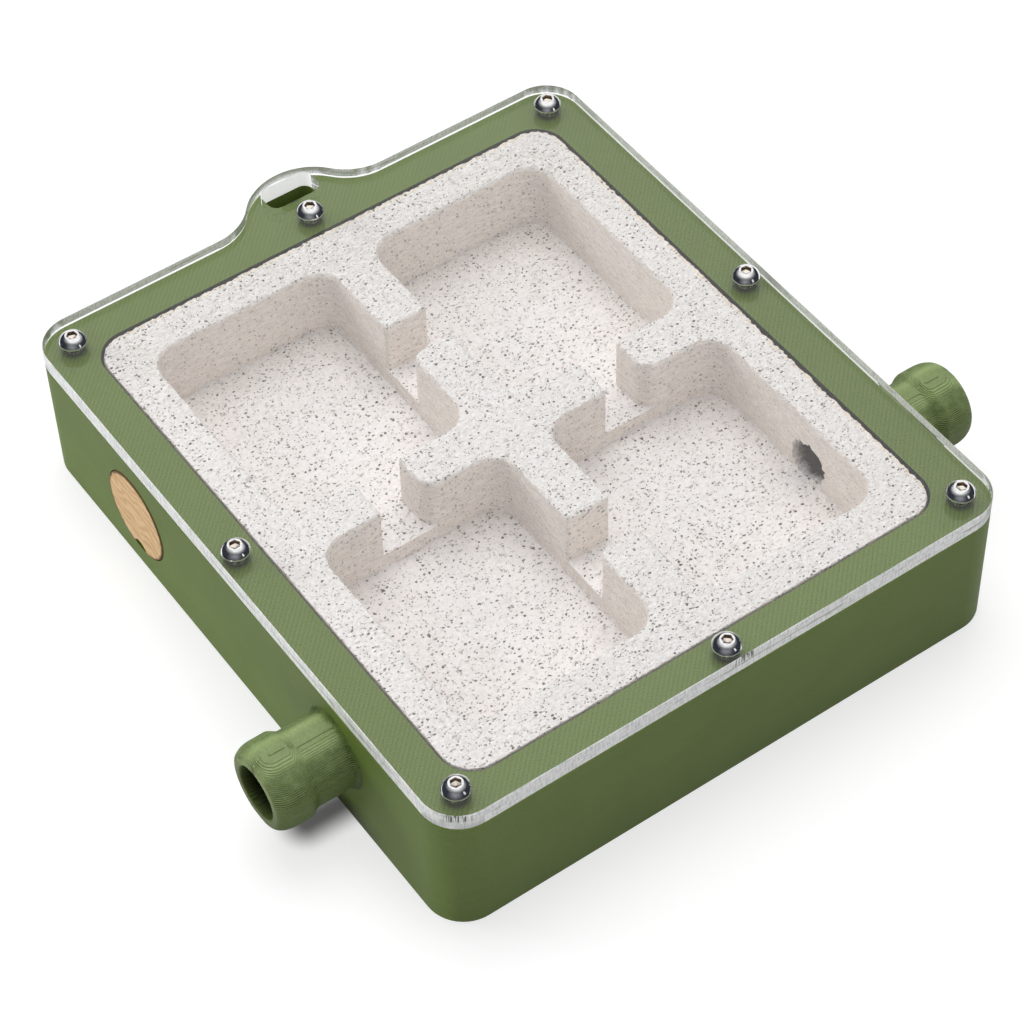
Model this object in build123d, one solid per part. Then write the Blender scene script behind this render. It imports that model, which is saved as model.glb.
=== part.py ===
from build123d import *
import math
import os

# An ant habitat: a printed tray that holds a block of mineral nest material with four rooms
# milled in it, under a clear screwed lid. Millimetres. X runs from the badge side to the
# other tube side, Y from the plain front to the tab with the water slot, Z up. The origin is
# under the middle of the tray's rectangle, on its underside.

# ---------------------------------------------------------------- tray and lid outline
case_width = 128.0
case_depth = 146.0
case_height = 29.2
outline_corner_radius = 8.0
lid_thickness = 4.0
lid_edge_break = 0.15
case_edge_break = 0.4
tab_radius = 13.2             # round of the tab, centred on the rear screw
tab_flank_radius = 12.0       # hollow flanks that lead into it

# ---------------------------------------------------------------- nest block
side_rim = 8.8                # from the tray's left and right edges to the pocket
end_rim = 8.1                 # from its front and rear edges to the pocket
pocket_gap = 0.45             # all round the block, in the tray
block_thickness = 22.0
block_corner_radius = 6.5
middle_wall = 10.0            # between neighbouring rooms
side_wall = 7.95              # left and right of the rooms
end_wall = 8.65               # before and behind them
room_cut_depth = 16.0
room_corner_radius = 5.5
passage_cut_depth = 12.0
passage_small_round = 1.0     # corners that a cutter left nearly sharp
entry_radius = 4.7            # tube side holes of the block
entry_offset = 0.6            # how far behind the spigots' axis they were milled

# A passage crosses the wall between two rooms: which way it runs, which pair of rooms it
# joins, how far it lies from their middle, how wide it is, and which corner, by its sides in
# X and Y, carries the one large round.
passages = [
    dict(along_x=True, pair=1, offset=-0.3, width=8.4, round_corner=(-1, -1), large_round=3.0),
    dict(along_x=True, pair=-1, offset=-1.3, width=9.4, round_corner=(-1, -1), large_round=2.5),
    dict(along_x=False, pair=-1, offset=-1.1, width=10.0, round_corner=(1, -1), large_round=4.0),
    dict(along_x=False, pair=1, offset=-0.9, width=9.0, round_corner=(1, -1), large_round=4.0),
]

# ---------------------------------------------------------------- water side
floor_thickness = 2.4
ledge_width = 3.0             # carries the block's edge, over the water space
post_diameter = 8.0           # a row of posts carries its middle
post_columns = 1
post_rows = 3
slot_width = 12.0             # water slot in the lid, well of the same outline below it
slot_depth = 6.6
slot_corner_radius = 2.2
slot_land = 4.4               # from the rear screw's axis to the slot
channel_width = 9.0           # from the well to the water space

# ---------------------------------------------------------------- fasteners
corner_inset = 6.6            # screw axis to both edges, at the corners
end_inset = 3.8               # to the front and rear edges, in the middle
side_inset = 4.1              # to the left and right edges, in the middle
side_screw_shift = 2.1        # of those two towards the rear
screw_diameter = 3.0
screw_length = 12.0           # under the head
screw_tip_chamfer = 0.4
head_diameter = 5.7
head_height = 1.65
head_rim_height = 0.35
head_top_flat_diameter = 2.9
socket_across_flats = 2.0
socket_depth = 1.04
socket_turn_step = 17.0       # degrees, so that no two sockets line up
lid_hole_gap = 0.2            # radial, round the screws
thread_gap = 0.03             # radial, round the screw in the rim
tip_clearance = 1.0           # below the screw tip

# ---------------------------------------------------------------- tube spigots
spigot_from_front = 36.6      # axis, from the tray's front edge
spigot_z = 17.4
spigot_length = 17.3          # from the tray's side to the mouth
spigot_bore_radius = 5.5
neck_radius = 7.8
barb_radius = 8.8
mouth_radius = 6.9            # outer edge of the mouth's face
barb_taper_length = 3.8       # from the mouth to the full radius
barb_land_length = 2.9
barb_back_length = 2.4        # slope from the full radius to the neck
foot_flare = 1.0              # round at the tray's side
mouth_edge_round = 0.4
tail_radius = 7.0             # part of the spigot that sits in the tray's side
tail_gap = 0.05               # radial, glue line

# ---------------------------------------------------------------- badge
badge_diameter = 19.6
badge_thickness = 3.0
badge_proud = 0.2
badge_gap = 0.2               # radial, in its recess
badge_from_rear = 38.0        # middle, from the tray's rear edge
badge_z = 14.6
badge_edge_break = 0.15
notch_radius = 2.3            # finger-nail notch at the bottom of the disc
notch_depth = 1.9

# ---------------------------------------------------------------- worked out from these
half_width = case_width / 2
half_depth = case_depth / 2
lid_top = case_height + lid_thickness
block_bottom = case_height - block_thickness
room_floor = case_height - room_cut_depth
pocket_width = case_width - 2 * side_rim
pocket_depth = case_depth - 2 * end_rim
block_width = pocket_width - 2 * pocket_gap
block_depth = pocket_depth - 2 * pocket_gap
room_width = (block_width - middle_wall) / 2 - side_wall
room_depth = (block_depth - middle_wall) / 2 - end_wall
room_middle_x = (middle_wall + room_width) / 2
room_middle_y = (middle_wall + room_depth) / 2
spigot_y = spigot_from_front - half_depth
entry_y = spigot_y + entry_offset
entry_z = room_floor + entry_radius
badge_y = half_depth - badge_from_rear
rear_screw_y = half_depth - end_inset
slot_y = rear_screw_y + slot_land + slot_depth / 2
tip_z = lid_top - screw_length
cut_over = 1.0                # how far a cutting tool runs past the face it opens
quarter_turn = 90.0

screw_places = dict(
    front_left=(-(half_width - corner_inset), -(half_depth - corner_inset)),
    front_middle=(0.0, -rear_screw_y),
    front_right=(half_width - corner_inset, -(half_depth - corner_inset)),
    right_middle=(half_width - side_inset, side_screw_shift),
    rear_right=(half_width - corner_inset, half_depth - corner_inset),
    rear_middle=(0.0, rear_screw_y),
    rear_left=(-(half_width - corner_inset), half_depth - corner_inset),
    left_middle=(-(half_width - side_inset), side_screw_shift),
)


def upright(face, bottom, top):
    """A prism of a face drawn at Z = 0, from one height to another."""
    return Pos(0, 0, bottom) * extrude(face, top - bottom)


def rod(radius, bottom, top, place=(0.0, 0.0)):
    """A round rod along Z."""
    return Pos(*place, (bottom + top) / 2) * Cylinder(radius, top - bottom)


def rod_along_x(side, near, far, radius, y, z):
    """A round rod along X, on one side, between two distances from the middle."""
    return Pos(side * (near + far) / 2, y, z) * Rot(0, 90, 0) * Cylinder(radius, far - near)


def outline():
    """The tray and lid outline: a rounded rectangle with the tab's round and hollow flanks."""
    reach = tab_radius + tab_flank_radius
    flank_y = half_depth + tab_flank_radius
    flank_x = math.sqrt(reach**2 - (flank_y - rear_screw_y) ** 2)
    joint_angle = math.atan2(rear_screw_y - flank_y, -flank_x)
    middle_angle = (joint_angle - math.pi / 2) / 2

    def on_flank(angle, side):
        along = flank_x + tab_flank_radius * math.cos(angle)
        return (side * along, flank_y + tab_flank_radius * math.sin(angle))

    right_joint = on_flank(joint_angle, 1)
    left_joint = on_flank(joint_angle, -1)
    tab_edges = [
        ThreePointArc((flank_x, half_depth), on_flank(middle_angle, 1), right_joint),
        ThreePointArc(right_joint, (0, rear_screw_y + tab_radius), left_joint),
        ThreePointArc(left_joint, on_flank(middle_angle, -1), (-flank_x, half_depth)),
        Line((-flank_x, half_depth), (flank_x, half_depth)),
    ]
    return RectangleRounded(case_width, case_depth, outline_corner_radius) + make_face(tab_edges)


def slot_outline():
    """The water slot, the same in the lid and down the well below it."""
    return Pos(0, slot_y) * RectangleRounded(slot_width, slot_depth, slot_corner_radius)


def room_outline():
    """The four rooms as one drawing."""
    room = RectangleRounded(room_width, room_depth, room_corner_radius)
    middles = GridLocations(2 * room_middle_x, 2 * room_middle_y, 2, 2)
    return Sketch() + [place * room for place in middles]


def passage_centre(passage):
    """Where a passage crosses its wall, along that wall."""
    middle = room_middle_y if passage["along_x"] else room_middle_x
    return passage["pair"] * middle + passage["offset"]


def passage_corners(passage):
    """The four corners where a passage meets its rooms, each with the radius of its round."""
    corners = []
    for side in (-1, 1):
        for edge in (-1, 1):
            through = side * middle_wall / 2
            across = passage_centre(passage) + edge * passage["width"] / 2
            place = (through, across) if passage["along_x"] else (across, through)
            sides = (side, edge) if passage["along_x"] else (edge, side)
            large = sides == passage["round_corner"]
            corners.append((place, passage["large_round"] if large else passage_small_round))
    return corners


def upper_outline():
    """Rooms and passages as one drawing, with the passages' mouths rounded."""
    drawing = room_outline()
    for passage in passages:
        length = middle_wall + 2 * cut_over
        along_x = passage["along_x"]
        size = (length, passage["width"]) if along_x else (passage["width"], length)
        centre = passage_centre(passage)
        place = (0, centre) if along_x else (centre, 0)
        drawing += Pos(*place) * Rectangle(*size)
    for passage in passages:
        for place, radius in passage_corners(passage):
            corner = drawing.vertices().sort_by_distance((*place, 0))[0]
            drawing = fillet(corner, radius)
    return drawing


def make_nest_block():
    """The mineral block: a rounded slab with the rooms, passages and two entry holes."""
    slab = RectangleRounded(block_width, block_depth, block_corner_radius)
    block = upright(slab, block_bottom, case_height)
    block -= upright(room_outline(), room_floor, case_height + cut_over)
    passage_floor = case_height - passage_cut_depth
    block -= upright(upper_outline(), passage_floor, case_height + cut_over)
    outside = block_width / 2 + cut_over
    for side in (-1, 1):
        block -= rod_along_x(side, room_middle_x, outside, entry_radius, entry_y, entry_z)
    return block


def screw_hole(place):
    """The blind hole in the tray's rim that one screw is driven into."""
    return rod(screw_diameter / 2 + thread_gap, tip_z - tip_clearance, case_height + cut_over, place)


def make_case():
    """The printed tray: pocket, ledge and posts over the water space, well and screw holes."""
    case = upright(outline(), 0, case_height)
    case = chamfer(case.faces().sort_by(Axis.Z)[-1].edges(), case_edge_break)
    pocket_radius = block_corner_radius + pocket_gap
    pocket = RectangleRounded(pocket_width, pocket_depth, pocket_radius)
    case -= upright(pocket, block_bottom, case_height + cut_over)
    water_width = pocket_width - 2 * ledge_width
    water_depth = pocket_depth - 2 * ledge_width
    water = RectangleRounded(water_width, water_depth, pocket_radius - ledge_width)
    case -= upright(water, floor_thickness, block_bottom)
    spacing_x = water_width / (post_columns + 1)
    spacing_y = water_depth / (post_rows + 1)
    post = rod(post_diameter / 2, floor_thickness, block_bottom)
    case += [place * post for place in GridLocations(spacing_x, spacing_y, post_columns, post_rows)]
    case -= upright(slot_outline(), floor_thickness, case_height + cut_over)
    channel_length = slot_y - water_depth / 2 + cut_over
    channel_middle = slot_y - channel_length / 2
    channel = Pos(0, channel_middle) * Rectangle(channel_width, channel_length)
    case -= upright(channel, floor_thickness, block_bottom)
    for place in screw_places.values():
        case -= screw_hole(place)
    tail_hole = tail_radius + tail_gap
    inside = pocket_width / 2 - cut_over
    for side in (-1, 1):
        case -= rod_along_x(side, inside, half_width + cut_over, tail_hole, spigot_y, spigot_z)
    recess = badge_diameter / 2 + badge_gap
    recess_bottom = half_width + badge_proud - badge_thickness
    case -= rod_along_x(-1, recess_bottom, half_width + cut_over, recess, badge_y, badge_z)
    return case


def make_lid():
    """The clear lid: eight screw holes and the water slot, edges just broken."""
    lid = upright(outline(), case_height, lid_top)
    faces = lid.faces().sort_by(Axis.Z)
    lid = chamfer(faces[0].edges() + faces[-1].edges(), lid_edge_break)
    for place in screw_places.values():
        hole = screw_diameter / 2 + lid_hole_gap
        lid -= rod(hole, case_height - cut_over, lid_top + cut_over, place)
    return lid - upright(slot_outline(), case_height - cut_over, lid_top + cut_over)


def make_screw(place, turn):
    """A button-head screw: dome with a hexagon socket, shank with a broken tip."""
    rim_radius = head_diameter / 2
    flat_radius = head_top_flat_diameter / 2
    rise = head_height - head_rim_height
    dome_drop = (rim_radius**2 - flat_radius**2 - rise**2) / (2 * rise)
    dome_z = lid_top + head_rim_height - dome_drop
    dome = Pos(*place, dome_z) * Sphere(math.hypot(rim_radius, dome_drop))
    head_top = lid_top + head_height
    head = rod(rim_radius, lid_top, head_top, place) & dome
    hexagon = Pos(*place) * Rot(0, 0, turn) * RegularPolygon(socket_across_flats / 2, 6, major_radius=False)
    head -= upright(hexagon, head_top - socket_depth, head_top + cut_over)
    shank = rod(screw_diameter / 2, tip_z, lid_top, place)
    shank = chamfer(shank.faces().sort_by(Axis.Z)[0].edges(), screw_tip_chamfer)
    return head + shank


def make_spigot(side):
    """A hose spigot: tail in the tray's side, flared foot, neck, barb and rounded mouth."""
    tail_end = pocket_width / 2
    mouth = half_width + spigot_length
    land_end = mouth - barb_taper_length
    land_start = land_end - barb_land_length
    neck_end = land_start - barb_back_length
    back_middle = ((neck_end + land_start) / 2, (neck_radius + barb_radius) / 2)
    foot_radius = neck_radius + foot_flare
    foot_end = (half_width + foot_flare, neck_radius)
    taper_drop = barb_radius - mouth_radius
    lip_radius = spigot_bore_radius + mouth_edge_round
    lip_start = (mouth - mouth_edge_round, spigot_bore_radius)
    profile = [
        Line((tail_end, spigot_bore_radius), (tail_end, tail_radius)),
        Line((tail_end, tail_radius), (half_width, tail_radius)),
        Line((half_width, tail_radius), (half_width, foot_radius)),
        TangentArc(foot_end, (half_width, foot_radius), tangent=(-1, 0)),
        Line(foot_end, (neck_end, neck_radius)),
        TangentArc((neck_end, neck_radius), back_middle, tangent=(1, 0)),
        TangentArc((land_start, barb_radius), back_middle, tangent=(-1, 0)),
        Line((land_start, barb_radius), (land_end, barb_radius)),
        EllipticalCenterArc((land_end, mouth_radius), barb_taper_length, taper_drop, arc_size=quarter_turn),
        Line((mouth, mouth_radius), (mouth, lip_radius)),
        TangentArc(lip_start, (mouth, lip_radius), tangent=(1, 0)),
        Line(lip_start, (tail_end, spigot_bore_radius)),
    ]
    spigot = revolve(make_face(profile), Axis.X)
    if side < 0:
        spigot = mirror(spigot, Plane.YZ)
    return Pos(0, spigot_y, spigot_z) * spigot


def make_badge():
    """The wooden disc, with a finger-nail notch at the bottom."""
    radius = badge_diameter / 2
    front = half_width + badge_proud
    badge = rod_along_x(-1, front - badge_thickness, front, radius, badge_y, badge_z)
    notch_z = badge_z - radius + notch_depth - notch_radius
    back = front - badge_thickness - cut_over
    badge -= rod_along_x(-1, back, front + cut_over, notch_radius, badge_y, notch_z)
    return chamfer(badge.faces().sort_by(Axis.X)[0].edges(), badge_edge_break)


def main():
    parts = {
        "case": make_case(),
        "nest_block": make_nest_block(),
        "lid": make_lid(),
        "badge": make_badge(),
        "left_tube_spigot": make_spigot(-1),
        "right_tube_spigot": make_spigot(1),
    }
    for count, (corner, place) in enumerate(screw_places.items()):
        parts[f"screw_{corner}"] = make_screw(place, count * socket_turn_step)
    os.makedirs("parts", exist_ok=True)
    for name, part in parts.items():
        export_step(part, f"parts/{name}.step")
        size = part.bounding_box().size
        print(f"{name}: {size.X:.2f} x {size.Y:.2f} x {size.Z:.2f}, {part.volume:.0f} mm3")


main()
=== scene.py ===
# %% [markdown]
# # An ant habitat, dressed for its portrait
# The object is a shallow printed tray that holds a block of pale, porous mineral. Four rooms are
# milled into the block, joined by short passages, and a clear acrylic sheet closes them off
# under eight small screws. Two hose spigots, a wooden disc and a tab with a water slot finish it.
#
# The construction comes in ready-made and fixed, as a frame of nodes in metres. Everything
# below only adds looks: finishes for the nodes whose shape is already right, and new meshes for
# the pieces whose surface is part of their shape.

# %% Load the frame
import math

import bmesh
import bpy
import numpy as np
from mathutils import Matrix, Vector, noise as mist


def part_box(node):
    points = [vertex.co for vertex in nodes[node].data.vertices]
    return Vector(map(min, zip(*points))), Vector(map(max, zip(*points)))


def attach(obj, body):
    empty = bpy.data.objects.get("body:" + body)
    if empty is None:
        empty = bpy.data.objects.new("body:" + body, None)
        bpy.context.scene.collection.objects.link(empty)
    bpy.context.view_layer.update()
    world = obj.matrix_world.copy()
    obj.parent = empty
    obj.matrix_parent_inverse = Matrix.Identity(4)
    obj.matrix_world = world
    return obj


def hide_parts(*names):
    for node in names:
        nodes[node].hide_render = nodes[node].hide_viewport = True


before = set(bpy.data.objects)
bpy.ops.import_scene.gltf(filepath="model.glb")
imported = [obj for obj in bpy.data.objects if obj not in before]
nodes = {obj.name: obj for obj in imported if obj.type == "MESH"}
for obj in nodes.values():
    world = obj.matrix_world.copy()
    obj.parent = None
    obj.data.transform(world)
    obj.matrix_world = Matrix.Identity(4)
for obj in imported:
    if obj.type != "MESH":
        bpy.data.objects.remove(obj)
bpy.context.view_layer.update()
MM = 0.001

bpy.ops.object.select_all(action="DESELECT")

# %% [markdown]
# ## Camera
# The photograph looks down on the front left corner from about 60 centimetres away, with a long
# lens, so the sides hardly converge. The place and the three turns below put the lens where the
# photographer's was; the focal length is given for a sensor 36 mm wide.

# %% Place the camera
camera_place = (-0.22683, -0.34000, 0.48639)
camera_turns = (40.274, 1.223, -35.230)
focal_length = 111.78

bpy.ops.object.camera_add(location=camera_place, rotation=[math.radians(a) for a in camera_turns])
camera = bpy.context.object
camera.name = "portrait_camera"
camera.data.lens = focal_length
camera.data.sensor_width = 36.0
camera.data.clip_start = 0.01
camera.data.clip_end = 20.0
bpy.context.scene.camera = camera
distance = (Vector(camera_place) - Vector((0, 0, 0.02))).length
print("camera:", focal_length, "mm lens,", round(distance, 2), "m from the object")

# %% [markdown]
# ## A small vocabulary for finishes
# A finish is a graph of nodes. Writing each link by hand takes many lines, so a few helpers name
# the moves that come back all the time: put a node down, do a sum, mix two colours, stretch one
# range of numbers over another, and ask a noise for a value. The graph in hand lies on a desk,
# so that no helper has to be told which one is meant.

# %% Helpers for node graphs
desk = {}


def lay_out(holder):
    """Empty the graph of a finish or of the world, and work on that one from now on."""
    holder.use_nodes = True
    holder.node_tree.nodes.clear()
    desk.update(holder=holder, graph=holder.node_tree)


def feed(socket, value):
    """Link a socket to a socket, or write a plain value on it."""
    if isinstance(value, bpy.types.NodeSocket):
        desk["graph"].links.new(value, socket)
    elif hasattr(value, "__len__") and len(value) == 3 and len(socket.default_value) == 4:
        socket.default_value = (*value, 1.0)
    else:
        socket.default_value = value


def put(kind, inputs=None, **settings):
    """Add one node, with its settings and the values or links of its inputs."""
    node = desk["graph"].nodes.new("ShaderNode" + kind)
    for key, value in settings.items():
        setattr(node, key, value)
    for key, value in (inputs or {}).items():
        feed(node.inputs[key], value)
    return node


def calc(operation, a, b=0.0, c=0.0):
    """One sum, as the Math node does it."""
    return put("Math", {0: a, 1: b, 2: c}, operation=operation).outputs[0]


def plus(a, b):
    """Two values added."""
    return calc("ADD", a, b)


def minus(a, b):
    """The second value taken from the first."""
    return calc("SUBTRACT", a, b)


def times(first, *others):
    """All the values multiplied."""
    for other in others:
        first = calc("MULTIPLY", first, other)
    return first


def all_but(share, value):
    """1, less this share of a value."""
    return calc("MULTIPLY_ADD", value, -share, 1.0)


def unsigned(value):
    """A value without its sign."""
    return calc("ABSOLUTE", value)


def apart(value, middle):
    """How far a value is from a middle, on either side."""
    return unsigned(minus(value, middle))


def within(value, limit):
    """1 where a value is nearer to zero than the limit, else 0."""
    return calc("LESS_THAN", unsigned(value), limit)


def reach(a, b):
    """The distance that two distances at right angles make together."""
    return calc("SQRT", plus(times(a, a), times(b, b)))


def waves(value, period):
    """A sine wave of this period."""
    return calc("SINE", times(value, 2 * math.pi / period))


def waver(pattern, amount):
    """A pattern turned into a shift to and fro round zero."""
    return times(minus(pattern, 0.5), amount)


def between(factor, a, b):
    """Two values mixed by a factor."""
    return put("Mix", {0: factor, 2: a, 3: b}).outputs[0]


def mix(factor, a, b, way="MIX"):
    """Two colours mixed by a factor."""
    return put("Mix", {0: factor, 6: a, 7: b}, data_type="RGBA", blend_type=way).outputs[2]


def tinted(colour, tint):
    """A colour multiplied by another."""
    return mix(1.0, colour, tint, "MULTIPLY")


def stained(factor, colour, tint):
    """A colour that takes a tint only where the factor says so."""
    return mix(factor, colour, tinted(colour, tint))


def dimmed(colour, factor):
    """A colour made darker or lighter by a plain factor."""
    return put("VectorMath", {0: colour, 3: factor}, operation="SCALE").outputs[0]


def stretch(value, low, high, new_low=0.0, new_high=1.0, smooth=True):
    """Spread one range over another and hold it at both ends."""
    way = "SMOOTHSTEP" if smooth else "LINEAR"
    inputs = {"Value": value, "From Min": low, "From Max": high, "To Min": new_low, "To Max": new_high}
    return put("MapRange", inputs, interpolation_type=way, clamp=True).outputs[0]


def graded(value, low, high, a, b):
    """Colour a where a value is low, colour b where it is high, and a soft change in between."""
    return mix(stretch(value, low, high), a, b)


def noise(place, scale, detail=2.0, roughness=0.5):
    """Soft blotches; the scale is in blotches per unit of the place."""
    inputs = {"Vector": place, "Scale": scale, "Detail": detail, "Roughness": roughness}
    return put("TexNoise", inputs).outputs["Fac"]


def spread(place, x, y, z):
    """A place with its three numbers multiplied, which squeezes or draws out a pattern."""
    return put("VectorMath", {0: place, 1: (x, y, z)}, operation="MULTIPLY").outputs[0]


def split(vector):
    """The three numbers of a vector."""
    return put("SeparateXYZ", {0: vector}).outputs


def relief(height, depth, strength=1.0):
    """A bump from a height between 0 and 1, for a relief of this depth in metres."""
    inputs = {"Height": height, "Distance": depth, "Strength": strength}
    return put("Bump", inputs).outputs[0]


def start_finish(name):
    """Begin a finish: a place in millimetres, and the surface's own direction."""
    lay_out(bpy.data.materials.new(name))
    place = spread(put("TexCoord").outputs["Object"], 1000, 1000, 1000)
    return place, split(put("NewGeometry").outputs["Normal"])


def principled(colour, rough, **others):
    """The standard surface; an underscore in the name of another input stands for a space."""
    inputs = {"Base Color": colour, "Roughness": rough}
    inputs.update({key.replace("_", " "): value for key, value in others.items()})
    return put("BsdfPrincipled", inputs).outputs[0]


def end_finish(shader):
    """Send the shader to the surface and hand over the finish."""
    feed(put("OutputMaterial").inputs["Surface"], shader)
    return desk["holder"]


def wear(part, finish):
    """Give a part this finish, in place of whatever it has."""
    part.data.materials.clear()
    part.data.materials.append(finish)


white = (1, 1, 1)
print("helpers for finishes are ready")

# %% [markdown]
# ## Room, floor and lamps
# A product photograph of this kind is taken on a white sweep under large, soft lamps. The world
# is white where the lens, a reflection or a view through clear sheet meets it, and greyer where
# it only lights the object, also when that light comes in through the lid.

# %% World
bpy.context.scene.view_settings.view_transform = "Standard"
sky_light = 0.60


def seen_or_mirrored():
    """1 for rays from the lens, from a reflection or through clear sheet, else 0."""
    path = put("LightPath").outputs
    seen = calc("MAXIMUM", path["Is Camera Ray"], path["Is Glossy Ray"])
    seen = calc("MAXIMUM", seen, path["Is Transmission Ray"])
    unscattered = calc("LESS_THAN", path["Diffuse Depth"], 0.5)
    return times(seen, unscattered)


world = bpy.data.worlds.new("studio")
bpy.context.scene.world = world
lay_out(world)
strength = stretch(seen_or_mirrored(), 0, 1, sky_light, 1.0, smooth=False)
sky = put("Background", {"Color": white, "Strength": strength})
feed(put("OutputWorld").inputs["Surface"], sky.outputs[0])
print("world: white to the eye,", sky_light, "as a light")

# %% [markdown]
# The floor is a plain pale sheet that glows just enough to come out white, and still takes the
# object's shadow. Hardly any light gets in between the left spigot, the wall and the floor, so
# a painted shadow tones down a short, soft-edged strip of the floor there.

# %% Floor
floor_albedo = 0.50
floor_glow = 0.60
strip_middle = (-67.0, -36.6)
strip_half_length = 5.0
strip_reach = 7.0
strip_off_glow = 0.92
strip_off_sheet = 0.75

bpy.ops.mesh.primitive_plane_add(size=6.0, location=(0, 0, -0.05 * MM))
floor = bpy.context.object
floor.name = "floor"
bpy.ops.object.transform_apply(location=True, rotation=False, scale=False)

place, _ = start_finish("pale_floor")
x, y, _ = split(place)
off_end = calc("MAXIMUM", minus(apart(x, strip_middle[0]), strip_half_length), 0.0)
off_strip = reach(off_end, minus(y, strip_middle[1]))
# Painted shadow: 1 on the strip under the left spigot, less towards its soft edge.
painted_spigot_shadow = stretch(off_strip, 0.5, strip_reach, 1.0, 0.0)
glow = times(seen_or_mirrored(), floor_glow, all_but(strip_off_glow, painted_spigot_shadow))
shade = stretch(noise(place, 0.03, 3), 0.2, 0.8, floor_albedo - 0.003, floor_albedo + 0.003)
shade = times(shade, all_but(strip_off_sheet, painted_spigot_shadow))
grey = put("CombineColor", {0: shade, 1: shade, 2: shade}).outputs[0]
sheet = put("BsdfDiffuse", {"Color": grey})
light = put("Emission", {"Color": white, "Strength": glow})
glowing = put("AddShader", {0: sheet.outputs[0], 1: light.outputs[0]}).outputs[0]
wear(floor, end_finish(glowing))
print("floor: reflects", floor_albedo, "and glows", floor_glow)

# %% [markdown]
# One large lamp hangs high and a little behind the object, which leaves the walls that face the
# lens in soft shade. A second, weaker one stands low at the far left: it brightens the badge side
# and lets the left spigot throw its shade on the corner in front of it.

# %% Lamps
object_middle = Vector((0, 0, 0.02))


def soft_lamp(name, place, size, power):
    """A square area lamp that looks at the object and that reflections don't see."""
    bpy.ops.object.light_add(type="AREA", location=place)
    lamp = bpy.context.object
    lamp.name = name
    lamp.data.shape = "SQUARE"
    lamp.data.size = size
    lamp.data.energy = power
    lamp.rotation_euler = (object_middle - Vector(place)).to_track_quat("-Z", "Y").to_euler()
    lamp.visible_glossy = False
    lamp.visible_transmission = False
    print(name, "of", power, "W, side", size, "m")


soft_lamp("high_lamp", (0.16, 0.34, 1.15), 0.9, 6.6)
soft_lamp("far_left_lamp", (-0.62, 0.72, 0.36), 0.35, 2.8)

# %% [markdown]
# Polished screws show nothing but what stands round them. A black card curves round behind the
# lens, as photographers do it, and fades to white at its upper edge. Two light patches on it
# stand for the lit walls of the room: a broad, weak one and a small, bright one. Only
# reflections can see the card.

# %% Black card
card_radius = 0.95
card_sides = 48
card_lowest = 0.70
card_rise = 2.00
behind_lens = math.radians(236)
card_black = (0.030, 0.034, 0.044)


def card_height(angle):
    """The card's upper edge: high behind the lens, low on the far side."""
    return card_lowest + card_rise * (0.5 + 0.5 * math.cos(angle - behind_lens))


card_mesh = bpy.data.meshes.new("black_card")
rounds = [2 * math.pi * i / card_sides for i in range(card_sides + 1)]
corners = [(card_radius * math.cos(a), card_radius * math.sin(a), z)
           for a in rounds for z in (0.0, card_height(a))]
panels = [(2 * i, 2 * i + 2, 2 * i + 3, 2 * i + 1) for i in range(card_sides)]
card_mesh.from_pydata(corners, [], panels)
upwards = card_mesh.uv_layers.new(name="upwards")
for loop in card_mesh.loops:
    upwards.data[loop.index].uv = (loop.vertex_index // 2 / card_sides, loop.vertex_index % 2)
card = bpy.data.objects.new("black_card", card_mesh)
bpy.context.collection.objects.link(card)

lay_out(bpy.data.materials.new("black_card"))
round_it, up_it, _ = split(put("UVMap").outputs[0])
height = split(put("TexCoord").outputs["Object"])[2]


def patch(angle, half_width, middle, half_height, softness):
    """A soft-edged light patch on the card, at an angle in degrees and a height in metres."""
    turn = apart(round_it, angle / 360)
    across = stretch(turn, (1 - softness) * half_width / 360, half_width / 360, 1.0, 0.0)
    climb = apart(height, middle)
    return times(across, stretch(climb, (1 - softness) * half_height, half_height, 1.0, 0.0))


tone = graded(up_it, 0.28, 0.98, card_black, white)
tone = mix(times(patch(229, 62, 0.70, 0.70, 1.0), 0.26), tone, (0.9, 0.95, 1.0))
tone = mix(patch(294, 7, 0.50, 0.24, 0.5), tone, white)
wear(card, end_finish(put("Emission", {"Color": tone, "Strength": 1.0}).outputs[0]))
for ray in ("camera", "diffuse", "transmission", "shadow"):
    setattr(card, "visible_" + ray, False)
print("card panels:", len(card_mesh.polygons))

# %% [markdown]
# ## The mineral block
# The block is sawn and milled from a light, brittle stone, so its faces are flat but its upper
# edges crumble: every rim of a room, a passage and the block itself is a ragged line of small
# chips. A bevel would be far too regular. The edge is rebuilt instead: a copy of the node is cut
# off just below its top, the cut edge is divided finely, drawn up again in a few steps, and each
# step is pushed into the stone by a noise, a little more the higher it is. One flat face then
# closes the top.

# %% A working copy of a node
def edit(piece):
    """Make one object the only selected one and enter edit mode."""
    bpy.ops.object.select_all(action="DESELECT")
    piece.select_set(True)
    bpy.context.view_layer.objects.active = piece
    bpy.ops.object.mode_set(mode="EDIT")


def leave_edit():
    """Back to object mode."""
    bpy.ops.object.mode_set(mode="OBJECT")


def merged_copy(name, node):
    """A copy of a node's mesh with its loose triangles joined into clean faces."""
    piece = bpy.data.objects.new(name, nodes[node].data.copy())
    bpy.context.scene.collection.objects.link(piece)
    edit(piece)
    bpy.ops.mesh.select_mode(type="VERT")
    bpy.ops.mesh.select_all(action="SELECT")
    bpy.ops.mesh.remove_doubles(threshold=0.001 * MM)
    bpy.ops.mesh.dissolve_limited(angle_limit=math.radians(1))
    leave_edit()
    return piece


def pick(piece, kind, wanted):
    """Select, in object mode, the points, edges or faces for which wanted() is true."""
    mesh = piece.data
    for group in (mesh.vertices, mesh.edges, mesh.polygons):
        group.foreach_set("select", [False] * len(group))
    group = getattr(mesh, kind)
    group.foreach_set("select", [bool(wanted(item)) for item in group])


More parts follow.
